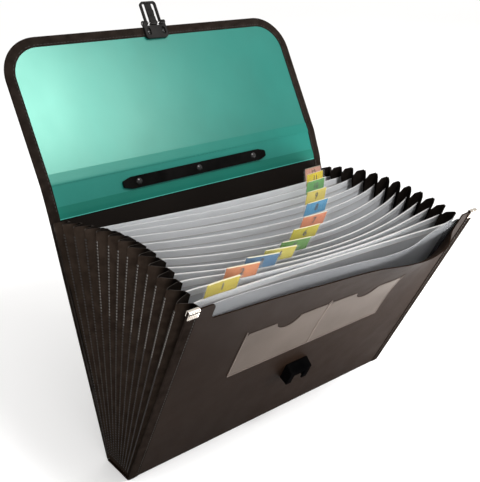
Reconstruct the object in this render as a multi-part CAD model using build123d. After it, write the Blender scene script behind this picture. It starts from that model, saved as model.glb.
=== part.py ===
from build123d import *
import os
from math import cos, radians, sin, sqrt

# Overall sizes in millimetres
folder_width = 335.0
base_depth = 36.0
base_thickness = 1.5
front_height = 235.0
back_height = 232.0
spine_height = 27.0
flap_height = 136.0
flap_corner_radius = 38.0
pocket_count = 13

# Angles of the open folder in degrees
front_lean = 26.0
back_lean = 18.0
spine_kink = 3.6
flap_kink = 7.7

# Sheets and tape
cover_thickness = 1.2
divider_thickness = 0.6
divider_height = 218.0
hem_height = 7.0
hem_thickness = 0.6
hem_inset = 14.0
lining_thickness = 0.5
leaf_thickness = 0.4
tape_thickness = 0.5
tape_width = 10.0
film_thickness = 0.35
fold_lip = 0.3

# Gussets
gusset_thickness = 0.4
gusset_top = 230.0
gusset_foot = 3.0
pleat_depth = 6.5
pleat_clip = 5.0
seam_inset = 1.5

# Front cover's recess, card pockets and end clips
ear_width = 25.0
recess_depth = 17.0
recess_radius = 3.0
card_width = 94.0
card_height = 58.0
card_drop = 60.0
card_seam = 0.4
thumb_radius = 14.0
thumb_rise = 3.0
slit_width = 1.2
slit_depth = 4.0
slit_inset = 3.0
swell_heights = (0.0, 1.5, 3.3, 5.6, 8.3, 10.7, 14.1, 20.0, 22.0, 15.8, 0.0)
swell_end_inset = 17.5
swell_drop = 125.0
swell_power = 3.0
swell_limit = 1.0
swell_section_count = 6
clip_width = 11.5
clip_height = 9.5
clip_thickness = 0.5
clip_rib_count = 5
clip_rib_radius = 0.4
clip_rib_length = 6.0

# Catch on the front cover
catch_width = 26.0
catch_height = 20.0
catch_drop = 146.0
catch_rise = 10.0
catch_ramp = 3.0
catch_wall = 1.6
catch_side_wall = 3.2
catch_notch_width = 14.0
catch_notch_height = 11.0
catch_rivet_radius = 1.5
catch_rivet_spread = 7.0
tongue_width = 10.0
tongue_thickness = 1.2

# Index tabs
tab_width = 36.0
tab_rise = 14.0
tab_grip = 5.0
tab_wall = 0.5
tab_end_inset = 42.5

# Handle on the spine
plate_length = 176.0
plate_height = 11.5
plate_thickness = 2.5
plate_taper = 9.0
plate_nose = 6.0
plate_corner_radius = 1.5
handle_rivet_radius = 1.8
handle_rivet_spread = 71.0
grip_span = 124.0
grip_drop = 27.0
grip_width = 9.0
grip_leg = 6.0
grip_edge_radius = 3.0
lug_thickness = 4.0
lug_radius = 4.0
lug_stand = 4.5
grip_pin_radius = 1.5

# Buckle on the flap
buckle_width = 26.0
buckle_reach = 13.0
buckle_thickness = 3.0
buckle_corner_radius = 3.0
buckle_slot_width = 4.6
buckle_slot_height = 8.0
buckle_slot_depth = 1.6
buckle_rivet_radius = 1.2
buckle_rivet_rim = 0.8
buckle_rivet_spread = 8.6
buckle_rivet_reach = 6.0
knuckle_radius = 2.4
knuckle_length = 3.4
knuckle_gap = 3.0
clasp_length = 22.0
clasp_leg = 2.4
clasp_taper = 2.0
clasp_tongue_width = 7.0
clasp_tongue_thickness = 1.6
clasp_pin_radius = 1.0

# Fasteners' heads
head_thickness = 1.0
head_rim = 1.4

# Clearances
hinge_clearance = 0.3
fold_clearance = 0.8
lip_clearance = 0.15
seam_clearance = 0.4
rivet_clearance = 0.1
pin_clearance = 0.08
side_clearance = 0.3
sheet_clearance = 0.15
pick_tolerance = 0.01

# Values worked out from the sizes above
half_width = folder_width / 2
half_sheet = half_width - tape_thickness
pocket_pitch = base_depth / pocket_count
tab_spread = folder_width - 2 * tab_end_inset
tab_step = tab_spread / (pocket_count - 2)
card_top = front_height - card_drop
card_bottom = card_top - card_height
catch_top = front_height - catch_drop
catch_bottom = catch_top - catch_height
swell_bottom = front_height - swell_drop
cover_outside = cover_thickness + tape_thickness
lining_inside = lining_thickness + tape_thickness
hem_front = divider_thickness / 2 + hem_thickness


def lean(sheet):
    """Forward lean of a sheet of the fan, from the front cover (0) to the back cover (pocket_count)."""
    return front_lean - (front_lean + back_lean) * sheet / pocket_count


def fan_frame(sheet):
    """Frame on a sheet's bottom fold: X along the fold, Z up the sheet, Y to the back."""
    return Location((0, pocket_pitch * sheet - base_depth / 2, base_thickness), (lean(sheet), 0, 0))


front_frame = fan_frame(0)
back_frame = fan_frame(pocket_count)
spine_frame = back_frame * Location((0, 0, back_height), (-spine_kink, 0, 0))
flap_frame = spine_frame * Location((0, 0, spine_height), (-flap_kink, 0, 0))


def area(x_low, z_low, x_high, z_high):
    """A rectangle drawn in a sheet's own X and Z."""
    return Pos((x_low + x_high) / 2, (z_low + z_high) / 2) * Rectangle(x_high - x_low, z_high - z_low)


def plate(outline, y_front, y_back):
    """A flat plate of one outline, between two places in Y."""
    return Pos(0, y_back, 0) * extrude(Plane.XZ * outline, y_back - y_front)


def post(radius, x, z, y_front, y_back):
    """A round post along Y."""
    return plate(Pos(x, z) * Circle(radius), y_front, y_back)


def rod(radius, x_low, x_high, y, z):
    """A round rod along X."""
    return Pos(x_low, y, z) * extrude(Plane.YZ * Circle(radius), x_high - x_low)


def rivet(radius, rim, x, z, y_front, y_back):
    """A rivet along Y, with a flat head beyond each end."""
    shank = post(radius, x, z, y_front, y_back)
    front_head = post(radius + rim, x, z, y_front - head_thickness, y_front)
    back_head = post(radius + rim, x, z, y_back, y_back + head_thickness)
    return shank + front_head + back_head


def fold_lip_strip(z_low, z_high):
    """The thin scored lip between a panel and the line it folds on."""
    return plate(area(-half_sheet, z_low, half_sheet, z_high), 0, fold_lip)


def edge_tape(side, z_low, z_high, y_front, y_back):
    """Tape folded over one upright edge of a sheet that lies between y_front and y_back."""
    outside = side * half_width
    inside = side * (half_width - tape_width)
    x_low, x_high = min(outside, inside), max(outside, inside)
    wrap = plate(area(x_low, z_low, x_high, z_high), y_front - tape_thickness, y_back + tape_thickness)
    return wrap - plate(area(-half_sheet, z_low, half_sheet, z_high), y_front, y_back)


# Bottom strip
def make_base_strip():
    return Pos(0, 0, base_thickness / 2) * Box(folder_width, base_depth, base_thickness)


# Sheets of the front, which swell forward between the ears while the folder stands open
def swell_share(z):
    """How much of the swell is reached at a height: none at its bottom, all of it on the recess's edge."""
    rise = front_height - recess_depth - swell_bottom
    return min(((z - swell_bottom) / rise) ** swell_power, swell_limit)


def swell_curve(z, y):
    """The swelling line across the sheet at one height."""
    reach = half_width - swell_end_inset
    step = 2 * reach / (len(swell_heights) - 1)
    points = [Vector(step * i - reach, y - swell_share(z) * height, z) for i, height in enumerate(swell_heights)]
    return Edge.make_spline(points, tangents=[Vector(1, 0, 0), Vector(1, 0, 0)])


def swell_section(half, z, y_front, y_back):
    """The sheet's outline at one height: flat ends and two swelling lines."""
    edges = []
    for y in (y_front, y_back):
        curve = swell_curve(z, y)
        edges += [Edge.make_line(Vector(-half, y, z), curve @ 0), curve, Edge.make_line(curve @ 1, Vector(half, y, z))]
    for x in (-half, half):
        edges.append(Edge.make_line(Vector(x, y_front, z), Vector(x, y_back, z)))
    return Wire(edges)


def front_sheet(outline, half, z_low, y_front, y_back):
    """A sheet of one outline against the front cover: flat at the bottom, swelling above."""
    low = plate(area(-half, z_low, half, swell_bottom), y_front, y_back)
    rise = (front_height - swell_bottom) / swell_section_count
    sections = [swell_section(half, swell_bottom + rise * i, y_front, y_back) for i in range(swell_section_count + 1)]
    room = swell_limit * max(swell_heights) + cover_thickness
    return (low + Solid.make_loft(sections)) & plate(outline, y_front - room, y_back + room)


# Front cover with its recess between two ears
def make_front_cover():
    ear_inside = half_width - ear_width
    sheet = area(-half_sheet, hinge_clearance, half_sheet, front_height)
    opening = Pos(0, front_height) * RectangleRounded(2 * ear_inside, 2 * recess_depth, recess_radius)
    sheet -= opening
    corners = [v for v in sheet.vertices() if v.Y > front_height - pick_tolerance
               and abs(v.X) < ear_inside + pick_tolerance]
    sheet = fillet(corners, recess_radius)
    cover = front_sheet(sheet, half_sheet, hinge_clearance, -cover_thickness, 0)
    for x, z in catch_rivet_places():
        cover -= post(catch_rivet_radius + rivet_clearance, x, z, -cover_thickness, 0)
    return cover


def make_front_leaf():
    """The clear leaf, which ends short of the tape and the clips."""
    half_leaf = half_width - max(tape_width, side_clearance + clip_width) - side_clearance
    outline = area(-half_leaf, gusset_foot, half_leaf, front_height)
    leaf = front_sheet(outline, half_leaf, gusset_foot, sheet_clearance, sheet_clearance + leaf_thickness)
    for x, z in catch_rivet_places():
        leaf -= post(catch_rivet_radius + head_rim + rivet_clearance, x, z, 0, sheet_clearance + leaf_thickness)
    return leaf


def make_corner_clip(side):
    """A folded metal clip over the cover's top corner and the end of its tape."""
    outside = half_width - side_clearance
    middle = side * (outside - clip_width / 2)
    front = -cover_outside
    back = tape_thickness
    low = front_height - clip_height
    outer = plate(area(middle - clip_width / 2, low, middle + clip_width / 2, front_height + clip_thickness),
                  front - clip_thickness, back + clip_thickness)
    clip = outer - plate(area(middle - clip_width, low, middle + clip_width, front_height), front, back)
    rib_step = clip_width / (clip_rib_count + 1)
    for rib in range(clip_rib_count):
        x = middle - clip_width / 2 + rib_step * (rib + 1)
        groove = Cylinder(clip_rib_radius, clip_rib_length)
        clip -= Pos(x, front - clip_thickness - clip_rib_radius / 2, low + clip_height / 2) * groove
    return clip


def make_card_pocket(side):
    low = card_seam / 2 if side > 0 else -card_seam / 2 - card_width
    high = low + card_width
    film = area(low, card_bottom, high, card_top)
    film -= Pos((low + high) / 2, card_top + thumb_rise) * Circle(thumb_radius)
    for x in (low + slit_inset, high - slit_inset):
        film -= area(x - slit_width / 2, card_top - slit_depth, x + slit_width / 2, card_top)
    seat = -cover_thickness - sheet_clearance
    return front_sheet(film, half_sheet, hinge_clearance, seat - film_thickness, seat)


# Catch
def catch_rivet_places():
    middle = (catch_bottom + catch_notch_height + catch_top - catch_ramp) / 2
    return [(-catch_rivet_spread, middle), (catch_rivet_spread, middle)]


def side_prism(points, width):
    """A prism along X, centred, from points of height above the front cover and place up it."""
    outline = Polygon(*[(-height - cover_thickness, z) for height, z in points], align=None)
    return Pos(-width / 2, 0, 0) * extrude(Plane.YZ * outline, width)


def make_catch_body():
    ridge = catch_top - catch_ramp
    body = side_prism([(0, catch_bottom), (0, catch_top), (catch_wall, catch_top), (catch_rise, ridge),
                       (catch_rise, catch_bottom)], catch_width)
    body -= side_prism([(catch_wall, catch_bottom), (catch_wall, ridge), (catch_rise - catch_wall, ridge),
                        (catch_rise - catch_wall, catch_bottom)], catch_width - 2 * catch_side_wall)
    notch = area(-catch_notch_width / 2, catch_bottom, catch_notch_width / 2, catch_bottom + catch_notch_height)
    body -= plate(notch, -cover_thickness - catch_rise, -cover_thickness - catch_rise + catch_wall)
    for x, z in catch_rivet_places():
        body -= post(catch_rivet_radius + rivet_clearance, x, z, -cover_thickness - catch_wall, -cover_thickness)
    return body


def make_catch_tongue():
    """A sloping tongue on the floor of the catch, under its notch."""
    top = catch_bottom + catch_notch_height
    rise = catch_rise - 2 * catch_wall - side_clearance
    return side_prism([(catch_wall, catch_bottom), (catch_wall, top), (rise, top),
                       (catch_wall + tongue_thickness, catch_bottom)], tongue_width)


def make_catch_rivets():
    rivets = []
    for x, z in catch_rivet_places():
        shank = post(catch_rivet_radius, x, z, -cover_thickness - catch_wall + rivet_clearance, 0)
        rivets.append(shank + post(catch_rivet_radius + head_rim, x, z, 0, head_thickness))
    return Compound(children=rivets)


# Dividers and their tabs
def divider_half_width():
    """Half the width that clears the gusset's folds beside the bottom of a divider."""
    half_pitch = pocket_pitch / 2
    fold_length = sqrt(pleat_depth ** 2 + half_pitch ** 2)
    fold_shift = gusset_thickness / 2 * fold_length / half_pitch
    edge_room = (divider_thickness / 2 + seam_clearance) * pleat_depth / half_pitch
    return half_width - seam_inset - fold_shift - edge_room


def make_divider():
    half = divider_half_width()
    near = divider_thickness / 2
    sheet = plate(area(-half, hinge_clearance, half, divider_height), -near, near)
    half_hem = half - hem_inset
    hem = plate(area(-half_hem, divider_height - hem_height, half_hem, divider_height), -hem_front, -near)
    return sheet + hem


def make_index_tab(sheet):
    x = tab_step * (sheet - 1) - tab_spread / 2
    back = divider_thickness / 2
    low = divider_height - tab_grip
    outline = area(x - tab_width / 2, low, x + tab_width / 2, divider_height + tab_rise)
    tab = plate(outline, -hem_front - tab_wall, back + tab_wall)
    return tab - plate(area(x - tab_width, low, x + tab_width, divider_height), -hem_front, back)


# Gussets
def fan_point(sheet, distance, x):
    """A point beside the fan, at a place between the sheets and a distance up from their folds."""
    angle = radians(lean(sheet))
    y = pocket_pitch * sheet - base_depth / 2 - distance * sin(angle)
    return Vector(x, y, base_thickness + distance * cos(angle))


def pleat_pitch(distance):
    """Distance between neighbouring sheets, measured across the fan."""
    return pocket_pitch + distance * radians(front_lean + back_lean) / pocket_count


def gusset_places(distance):
    """Sheet places of the fabric's ridges and creases, clear of the covers' tape at both ends."""
    room = (tape_thickness + clip_thickness + seam_clearance) / pleat_pitch(distance)
    places = [fold / 2 for fold in range(2 * pocket_count + 1)]
    places[0] = room
    places[-1] = pocket_count - room
    return places


def gusset_edge(side, distance, surface):
    """Points of one surface of the fabric across the fan: ridges on the seams, creases inside."""
    half_pitch = pleat_pitch(distance) / 2
    shift = surface * gusset_thickness / 2 * sqrt(pleat_depth ** 2 + half_pitch ** 2) / half_pitch
    points = []
    for number, place in enumerate(gusset_places(distance)):
        depth = pleat_depth if number % 2 else 0.0
        points.append(fan_point(place, distance, side * (half_width - seam_inset - depth + shift)))
    return points


def gusset_top_edge(side, surface):
    """The top edge, with the corner beside each crease clipped off."""
    high = gusset_edge(side, gusset_top, surface)
    low = gusset_edge(side, gusset_top - pleat_clip, surface)
    edge = [high[0]]
    for number in range(1, len(high)):
        edge.append((high[number - 1] + high[number]) / 2)
        edge.append(low[number] if number % 2 else high[number])
    return edge


def make_gusset(side):
    """One pleated strip: folded fabric between two surfaces, closed along all its edges."""
    faces = []

    def triangle(a, b, c):
        faces.append(Face(Wire.make_polygon([a, b, c], close=True)))

    def strip(first, second):
        for number in range(len(first) - 1):
            triangle(first[number], first[number + 1], second[number])
            triangle(first[number + 1], second[number + 1], second[number])

    bottoms = [gusset_edge(side, gusset_foot, surface) for surface in (-1, 1)]
    tops = [gusset_top_edge(side, surface) for surface in (-1, 1)]
    for bottom, top in zip(bottoms, tops):
        for fold in range(len(bottom) - 1):
            triangle(bottom[fold], top[2 * fold], top[2 * fold + 1])
            triangle(bottom[fold], top[2 * fold + 1], bottom[fold + 1])
            triangle(bottom[fold + 1], top[2 * fold + 1], top[2 * fold + 2])
    strip(*bottoms)
    strip(*tops)
    for end in (0, -1):
        strip([bottoms[0][end], tops[0][end]], [bottoms[1][end], tops[1][end]])
    return Solid(Shell(faces))


# Back cover
def make_back_cover():
    high = back_height - fold_clearance
    cover = plate(area(-half_sheet, hinge_clearance, half_sheet, high), 0, cover_thickness)
    return cover + fold_lip_strip(high, back_height - lip_clearance)


# Spine of the flap, with the handle
def handle_rivet_places():
    middle = spine_height / 2
    return [(-handle_rivet_spread, middle), (0, middle), (handle_rivet_spread, middle)]


def with_handle_holes(piece, y_front, y_back):
    for x, z in handle_rivet_places():
        piece -= post(handle_rivet_radius + rivet_clearance, x, z, y_front, y_back)
    return piece


def make_spine_panel():
    strip = area(-half_sheet, fold_clearance, half_sheet, spine_height - fold_clearance)
    panel = plate(strip, 0, cover_thickness) + fold_lip_strip(lip_clearance, spine_height - lip_clearance)
    return with_handle_holes(panel, 0, cover_thickness)


def make_spine_lining():
    strip = area(-half_sheet, fold_clearance, half_sheet, spine_height - fold_clearance)
    return with_handle_holes(plate(strip, -lining_thickness, 0), -lining_thickness, 0)


def bar_outline():
    """A long bar whose ends taper to a blunt nose."""
    half, high, nose = plate_length / 2, plate_height / 2, plate_nose / 2
    corners = [(-half, -nose), (plate_taper - half, -high), (half - plate_taper, -high), (half, -nose),
               (half, nose), (half - plate_taper, high), (plate_taper - half, high), (-half, nose)]
    bar = Polygon(*corners, align=None)
    return Pos(0, spine_height / 2) * fillet(bar.vertices(), plate_corner_radius)


def make_handle_backplate():
    front = -lining_thickness - plate_thickness
    return with_handle_holes(plate(bar_outline(), front, -lining_thickness), front, -lining_thickness)


def grip_pivot():
    """Where the grip's pins turn, in the spine's own Y and Z."""
    return cover_thickness + plate_thickness + lug_stand, spine_height / 2


def make_handle_base():
    back = cover_thickness + plate_thickness
    base = with_handle_holes(plate(bar_outline(), cover_thickness, back), cover_thickness, back)
    y, z = grip_pivot()
    for side in (-1, 1):
        inside = side * (grip_span / 2 + side_clearance)
        outside = inside + side * lug_thickness
        x_low, x_high = min(inside, outside), max(inside, outside)
        foot = Pos((x_low + x_high) / 2, (back + y) / 2, z) * Box(lug_thickness, y - back, 2 * lug_radius)
        base += foot + rod(lug_radius, x_low, x_high, y, z)
        base -= rod(grip_pin_radius + pin_clearance, x_low, x_high, y, z)
    return base


def make_handle_rivets():
    front = -lining_thickness - plate_thickness
    back = cover_thickness + plate_thickness
    return Compound(children=[rivet(handle_rivet_radius, head_rim, x, z, front, back)
                              for x, z in handle_rivet_places()])


def make_handle_grip():
    """A bail that hangs straight down from its two pins."""
    bail = Pos(0, 0, -grip_drop) * Box(grip_span, grip_width, grip_width)
    bail = fillet(bail.edges().filter_by(Axis.X), grip_edge_radius)
    for side in (-1, 1):
        outside = side * grip_span / 2
        inside = outside - side * grip_leg
        x_low, x_high = min(inside, outside), max(inside, outside)
        leg = Pos((x_low + x_high) / 2, 0, -grip_drop / 2) * Box(grip_leg, grip_leg, grip_drop)
        pin_end = outside + side * (side_clearance + lug_thickness)
        bail += leg + rod(grip_leg / 2, x_low, x_high, 0, 0)
        bail += rod(grip_pin_radius, min(outside, pin_end), max(outside, pin_end), 0, 0)
    return bail


# Flap panel
def flap_outline(inset):
    """The flap's outline with its two rounded top corners, drawn in by an inset."""
    half = half_width - inset
    high = flap_height - inset
    outline = area(-half, fold_clearance, half, high)
    corners = [v for v in outline.vertices() if v.Y > high - pick_tolerance]
    return fillet(corners, flap_corner_radius - inset)


def with_buckle_holes(piece):
    for x, z in buckle_rivet_places():
        piece -= post(buckle_rivet_radius + rivet_clearance, x, z, -lining_inside - buckle_thickness, cover_outside)
    return piece


def make_flap_panel():
    panel = plate(flap_outline(tape_thickness), 0, cover_thickness)
    return with_buckle_holes(panel + fold_lip_strip(lip_clearance, fold_clearance))


def make_flap_lining():
    return with_buckle_holes(plate(flap_outline(tape_thickness), -lining_thickness, 0))


def make_flap_binding():
    rim = flap_outline(0) - (flap_outline(tape_width) + area(
        tape_width - half_width, fold_clearance, half_width - tape_width, flap_height / 2))
    wrap = plate(rim, -lining_inside, cover_outside)
    return with_buckle_holes(wrap - plate(flap_outline(tape_thickness), -lining_thickness, cover_thickness))


# Buckle and clasp
def buckle_rivet_places():
    z = flap_height - buckle_rivet_reach
    return [(-buckle_rivet_spread, z), (buckle_rivet_spread, z)]


def clasp_axis():
    """Where the clasp turns, in the flap's own Y and Z."""
    return -lining_inside - buckle_thickness / 2, flap_height + knuckle_gap


def make_buckle_base():
    back = -lining_inside
    front = back - buckle_thickness
    y, z = clasp_axis()
    half = buckle_width / 2
    base = plate(area(-half, flap_height - buckle_reach, half, flap_height), front, back)
    base = fillet(base.edges().filter_by(Axis.Y), buckle_corner_radius)
    for x, slot_z in buckle_rivet_places():
        slot = Pos(x, slot_z) * SlotOverall(buckle_slot_height, buckle_slot_width, rotation=90)
        base -= plate(slot, front, front + buckle_slot_depth)
    for side in (-1, 1):
        outside = side * half
        inside = outside - side * knuckle_length
        x_low, x_high = min(inside, outside), max(inside, outside)
        neck = plate(area(x_low, flap_height - buckle_corner_radius, x_high, z), front, back)
        base += neck + rod(knuckle_radius, x_low, x_high, y, z)
    base -= rod(clasp_pin_radius + pin_clearance, -half, half, y, z)
    return with_buckle_holes(base)


def make_buckle_rivets():
    slot_floor = -lining_inside - buckle_thickness + buckle_slot_depth
    return Compound(children=[rivet(buckle_rivet_radius, buckle_rivet_rim, x, z, slot_floor, cover_outside)
                              for x, z in buckle_rivet_places()])


def make_clasp_loop():
    y, z = clasp_axis()
    wide = buckle_width / 2 - knuckle_length - side_clearance
    narrow = wide - clasp_taper
    top = z + clasp_length
    near = buckle_thickness / 2
    outer = Polygon((-wide, z), (wide, z), (narrow, top), (-narrow, top), align=None)
    inner = Polygon((clasp_leg - wide, z), (wide - clasp_leg, z), (narrow - clasp_leg, top - clasp_leg),
                    (clasp_leg - narrow, top - clasp_leg), align=None)
    loop = plate(outer - inner, y - near, y + near)
    tongue = area(-clasp_tongue_width / 2, z, clasp_tongue_width / 2, top - clasp_leg / 2)
    loop += plate(tongue, y - clasp_tongue_thickness / 2, y + clasp_tongue_thickness / 2)
    step = area(-clasp_tongue_width / 2, z, clasp_tongue_width / 2, z + clasp_length / 2)
    loop += plate(step, y - near, y + near)
    loop += rod(knuckle_radius, -clasp_tongue_width / 2, clasp_tongue_width / 2, y, z)
    for side in (-1, 1):
        inside = side * (wide - clasp_leg)
        loop += rod(knuckle_radius, min(inside, side * wide), max(inside, side * wide), y, z)
    return loop - rod(clasp_pin_radius + pin_clearance, -wide, wide, y, z)


def make_clasp_pin():
    y, z = clasp_axis()
    return rod(clasp_pin_radius, -buckle_width / 2, buckle_width / 2, y, z)


# All the nodes, each in its place on the open folder
grip_frame = Location((spine_frame * Pos(0, *grip_pivot())).position)
nodes = {
    "base_strip": make_base_strip(),
    "front_cover": front_frame * make_front_cover(),
    "front_leaf": front_frame * make_front_leaf(),
    "catch_body": front_frame * make_catch_body(),
    "catch_tongue": front_frame * make_catch_tongue(),
    "catch_rivets": front_frame * make_catch_rivets(),
    "back_cover": back_frame * make_back_cover(),
    "spine_panel": spine_frame * make_spine_panel(),
    "spine_lining": spine_frame * make_spine_lining(),
    "handle_backplate": spine_frame * make_handle_backplate(),
    "handle_base": spine_frame * make_handle_base(),
    "handle_rivets": spine_frame * make_handle_rivets(),
    "handle_grip": grip_frame * make_handle_grip(),
    "flap_panel": flap_frame * make_flap_panel(),
    "flap_lining": flap_frame * make_flap_lining(),
    "flap_binding": flap_frame * make_flap_binding(),
    "buckle_base": flap_frame * make_buckle_base(),
    "buckle_rivets": flap_frame * make_buckle_rivets(),
    "clasp_loop": flap_frame * make_clasp_loop(),
    "clasp_pin": flap_frame * make_clasp_pin(),
}
for name, side in (("left", -1), ("right", 1)):
    nodes[f"card_pocket_{name}"] = front_frame * make_card_pocket(side)
    nodes[f"corner_clip_{name}"] = front_frame * make_corner_clip(side)
    nodes[f"front_binding_{name}"] = front_frame * edge_tape(
        side, hinge_clearance, front_height, -cover_thickness, 0)
    nodes[f"back_binding_{name}"] = back_frame * edge_tape(
        side, hinge_clearance, back_height - fold_clearance, 0, cover_thickness)
    nodes[f"spine_binding_{name}"] = spine_frame * edge_tape(
        side, fold_clearance, spine_height - fold_clearance, -lining_thickness, cover_thickness)
    nodes[f"{name}_gusset"] = make_gusset(side)
for sheet in range(1, pocket_count):
    nodes[f"divider_{sheet:02d}"] = fan_frame(sheet) * make_divider()
    nodes[f"index_tab_{sheet:02d}"] = fan_frame(sheet) * make_index_tab(sheet)

os.makedirs("parts", exist_ok=True)
for name, shape in nodes.items():
    export_step(shape, f"parts/{name}.step")
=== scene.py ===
import math

import bmesh
import bpy
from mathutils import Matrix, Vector


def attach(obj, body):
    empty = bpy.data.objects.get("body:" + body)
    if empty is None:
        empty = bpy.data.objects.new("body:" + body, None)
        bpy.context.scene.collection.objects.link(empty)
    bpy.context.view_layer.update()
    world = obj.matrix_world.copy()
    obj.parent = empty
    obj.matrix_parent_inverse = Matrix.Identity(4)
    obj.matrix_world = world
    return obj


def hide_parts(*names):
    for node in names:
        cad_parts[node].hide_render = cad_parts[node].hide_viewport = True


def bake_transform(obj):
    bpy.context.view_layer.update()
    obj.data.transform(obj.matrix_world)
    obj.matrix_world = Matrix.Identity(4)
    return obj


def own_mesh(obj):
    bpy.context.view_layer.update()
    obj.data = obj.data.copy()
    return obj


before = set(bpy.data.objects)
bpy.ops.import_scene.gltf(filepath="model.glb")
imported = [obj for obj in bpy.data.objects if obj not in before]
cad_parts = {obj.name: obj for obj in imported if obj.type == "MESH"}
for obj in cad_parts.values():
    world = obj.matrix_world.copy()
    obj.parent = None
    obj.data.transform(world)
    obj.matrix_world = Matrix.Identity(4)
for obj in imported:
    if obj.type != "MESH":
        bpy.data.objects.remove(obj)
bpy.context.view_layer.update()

# Sizes in millimetres, as in the part's source but for the hems, pleats, end clips and clasp loop
MM = 0.001
HALF_WIDTH = 167.5
BASE_DEPTH = 36.0
BASE_THICKNESS = 1.5
FRONT_HEIGHT = 235.0
BACK_HEIGHT = 232.0
SPINE_HEIGHT = 27.0
FLAP_HEIGHT = 136.0
FLAP_RADIUS = 38.0
POCKETS = 13
FRONT_LEAN = 26.0
BACK_LEAN = 18.0
SPINE_KINK = 3.6
FLAP_KINK = 7.7
COVER = 1.2
LINING = 0.5
HINGE_GAP = 0.3
FOLD_GAP = 0.8

# Front cover, its leaf and its card pockets
EAR_INSIDE = 142.5
EAR_MIDDLE = 157.0
RECESS_DEPTH = 17.0
RECESS_RADIUS = 4.0
RECESS_STEPS = (-1, -0.7, -0.4, -0.15, -0.002, 0.002, 0.15, 0.4, 0.7, 1)
RECESS_FLAT = 138.0
LEAF_HALF = 155.4
LEAF_BELOW = 1.0
LEAF_CORNER = 6.0
LEAF_ROUNDING = 8.0
LEAF_NEAR = 0.15
LEAF_FAR = 0.55
FILM = 0.35
FILM_GAP = 0.1
FILM_PROUD = 0.15
CARD_SEAM = 0.4
CARD_WIDTH = 94.0
CARD_BOTTOM = 117.0
CARD_TOP = 175.0
CARD_BORDER = 0.6
BORDER_PROUD = 0.4
THUMB_RADIUS = 14.0
THUMB_RISE = 3.0
THUMB_SPAN = 13.6
STRIP_POINT = 0.4
STRIP_WIDTH = 1.7
STRIP_RISE = 4.5
STRIP_SLOPE = 0.6
NICK_WIDTH = 1.4
NICK_DEPTH = 2.5
NICK_SLOPE = 0.5
NICK_STEP = 0.02

# Binding tape, its stitches and the bands over the flap's folds
TAPE = 0.5
TAPE_WIDTH = 10.0
TAPE_CROWN = 0.12
TAPE_BEVEL = 0.35
TAPE_TURN = 1.2
TAPE_ROUND = 0.6
TAPE_CLEAR = 0.01
STITCH_START = 2.0
STITCH_LENGTH = 2.2
STITCH_PITCH = 3.4
STITCH_INSET = 1.9
STITCH_WIDTH = 0.55
STITCH_LIFT = 0.45
STITCH_TAPER = 0.22
FOLD_REACH = 7.0
FOLD_PROUD = 0.06
BAND_HALF = HALF_WIDTH - TAPE_WIDTH + 1.5
BAND_GAP = 0.4

# Dividers and tabs; the holder's film is given as (y, drop below its top)
DIVIDER = 0.6
DIVIDER_HEIGHT = 218.0
DIVIDER_HALF = 162.0
HEM_HEIGHT = 7.0
HEM_THICKNESS = 0.6
HEM_HALF = 157.0
HEM_CLEAR = 0.02
WELD_LOW = 0.1
WELD_HIGH = 0.9
WELD_PROUD = 0.12
TAB_WIDTH = 36.0
TAB_CARD = 31.0
TAB_RISE = 14.0
TAB_GRIP = 5.0
TAB_SPREAD = 250.0
TAB_CARD_LOW = 0.3
TAB_CARD_BELOW = 0.6
TAB_CARD_FACE = -0.5
FIGURE_FACE = -0.56
FIGURE_SIZE = 9.5
FIGURE_DEPTH = 0.04
FIGURE_WEIGHT = 0.22
HOLDER_OUTSIDE = ((-1.4, 1.0), (-1.1, 0.25), (-0.35, 0.0), (0.4, 0.25), (0.7, 1.0))
HOLDER_INSIDE = ((0.45, 1.0), (0.2, 0.5), (-0.35, 0.3), (-0.9, 0.5), (-1.15, 1.0))
HOLDER_FOLD = (2, 3, 4)

# Gussets; a share is a part of the way from ridge to ridge
GUSSET_FOOT = 3.0
GUSSET_TOP = 230.0
GUSSET_THICKNESS = 0.4
PLEAT_DEPTH = 16.0
PLEAT_CLIP = 4.2
PLEAT_UNEVEN = 0.24
PLEAT_WANDER = (2.4, 1.3)
PLEAT_ROOM = 1.4
PLEAT_BLUNT = 0.1
PLEAT_PUFF = 0.5
PLEAT_SHARES = (0.035, 0.07, 0.11, 0.18, 0.27, 0.36, 0.44, 0.5)
CLIP_SHARE = 0.36
RIDGE_CLIP = 1.4
RIDGE_SHARE = 0.07
SEAM_INSET = 1.9
SEAM_SHARE = 0.045
SEAM_FOOT = 9.0
SEAM_PAST = 3.0
SEAM_LENGTH = 1.8
SEAM_PITCH = 2.7
SEAM_WIDTH = 0.9
SEAM_PROUD = 1.3
PALE_SEAM = 155.0
PALE_SHEETS = 10

# End clips, clasp and rivets; the tongue is given as (rise, face), beads and domes as (radius, place)
CLIP_WIDTH = 9.6
CLIP_HEIGHT = 8.0
CLIP_PROUD = 1.2
CLIP_THICKNESS = 0.5
CLIP_INSET = 0.3
CLIP_CLEAR = 0.15
CLIP_RIBS = 5.5
CLIP_GROOVE = (2, 3, 4, 5)
RIB_HEIGHT = 0.55
RIB_REACH = 4.3
GROOVE_DEPTH = 0.4
BEADS = 6
BEAD = ((0.02, -0.8), (0.5, -0.55), (0.7, 0.0), (0.5, 0.55), (0.02, 0.8))
BUCKLE_THICKNESS = 3.0
BUCKLE_SEAT = 1.6
KNUCKLE_GAP = 3.0
KNUCKLE_RADIUS = 2.4
CLASP_LENGTH = 22.0
CLASP_HALF = 9.3
CLASP_LEG = 2.0
CLASP_ROUND = 3.4
CLASP_TONGUE = 7.6
TONGUE_BACK = 0.8
TONGUE = ((0, 1.5), (6.5, 1.5), (6.8, 0.7), (7.6, 0.7), (7.9, 1.5), (13, 1.5), (13.5, 0.5), (21, 0.5))
HANDLE_RIVET = 71.0
HANDLE_PLATE = 2.5
BUCKLE_RIVET = 8.6
BUCKLE_RIVET_BELOW = 6.0
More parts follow.
